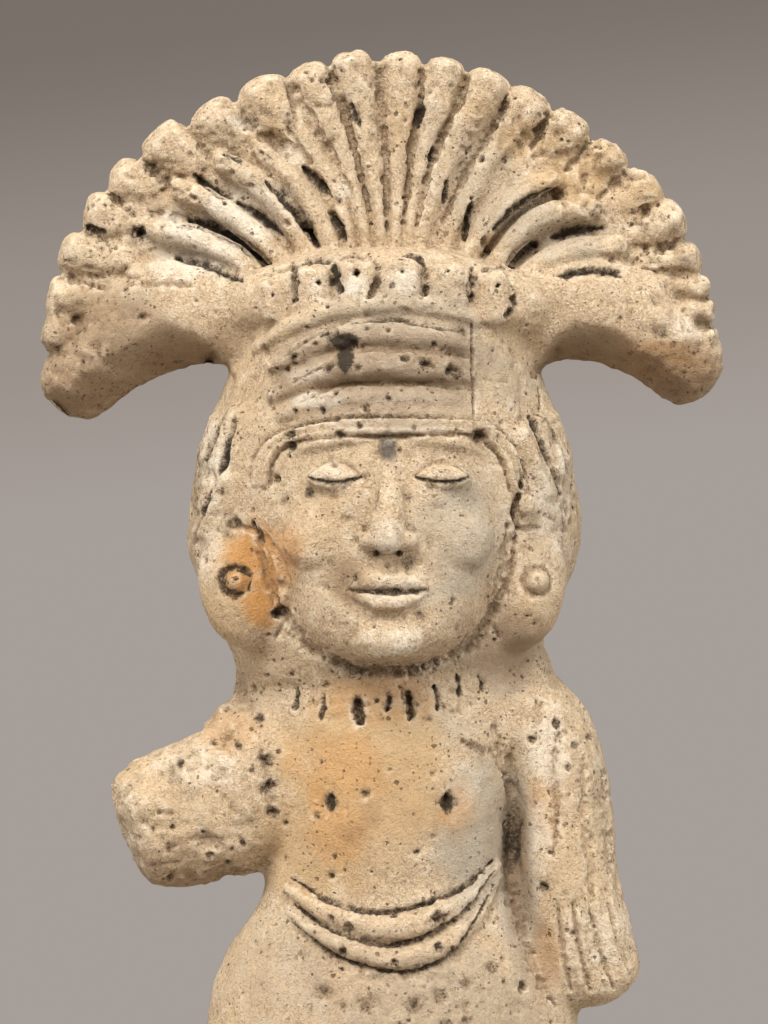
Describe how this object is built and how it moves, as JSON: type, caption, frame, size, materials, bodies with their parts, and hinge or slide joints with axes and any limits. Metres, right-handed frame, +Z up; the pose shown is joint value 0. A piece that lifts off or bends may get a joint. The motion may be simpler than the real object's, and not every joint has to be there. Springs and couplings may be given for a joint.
{
  "type": "carved stone figurine",
  "caption": "Standing stone figurine with a tall fan headdress, ear discs, one broken arm and a long skirt on a low oval base.",
  "frame": {"origin": "middle of the flat underside of the base, under the middle of the fan", "axes": "+Z up, the figure faces -Y, and its hanging arm is towards +X"},
  "size_m": [0.1345, 0.0634, 0.2481],
  "materials": {
    "stone": "worn pale porous limestone with dark dirt in its carving"
  },
  "bodies": {
    "root": {"figurine": "stone"}
  },
  "joints": []
}
